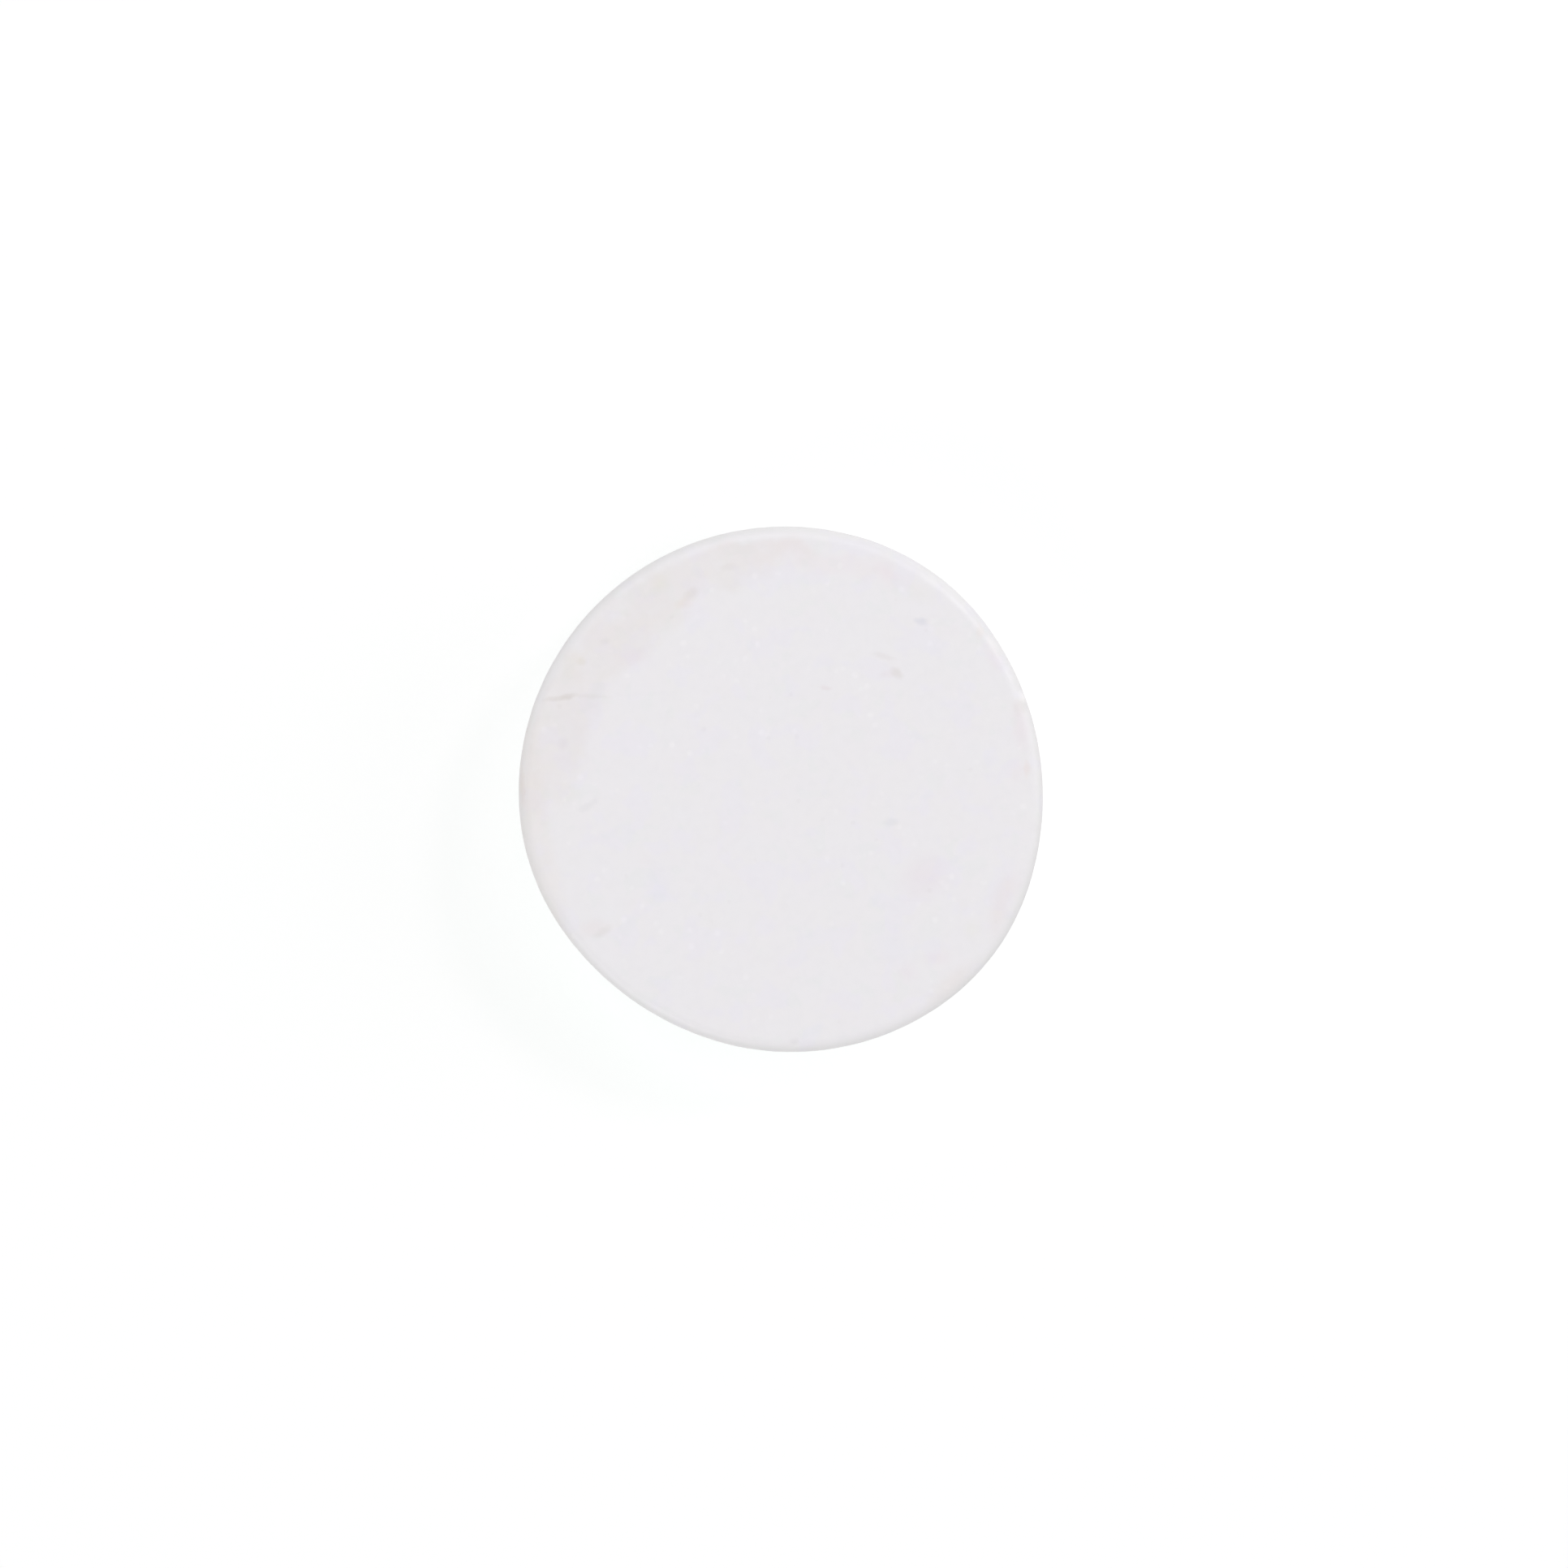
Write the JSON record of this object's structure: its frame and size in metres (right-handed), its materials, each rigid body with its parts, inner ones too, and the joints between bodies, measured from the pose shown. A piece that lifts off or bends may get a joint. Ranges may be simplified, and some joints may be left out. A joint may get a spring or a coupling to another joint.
{
  "type": "disc magnet",
  "caption": "Flat round magnet with a smooth white coat, softly rounded edges and a slightly uneven rim, for holding paper or small steel things.",
  "frame": {"origin": "middle of the lower pole face, where the disc rests", "axes": "+Z through the disc's thickness, from the lower pole face to the upper one; +Y is up in the picture, and +X is right"},
  "size_m": [0.02, 0.02, 0.005],
  "materials": {
    "coat": "satin white coat, faintly stained and specked"
  },
  "bodies": {
    "root": {"magnet": "coat"}
  },
  "joints": []
}
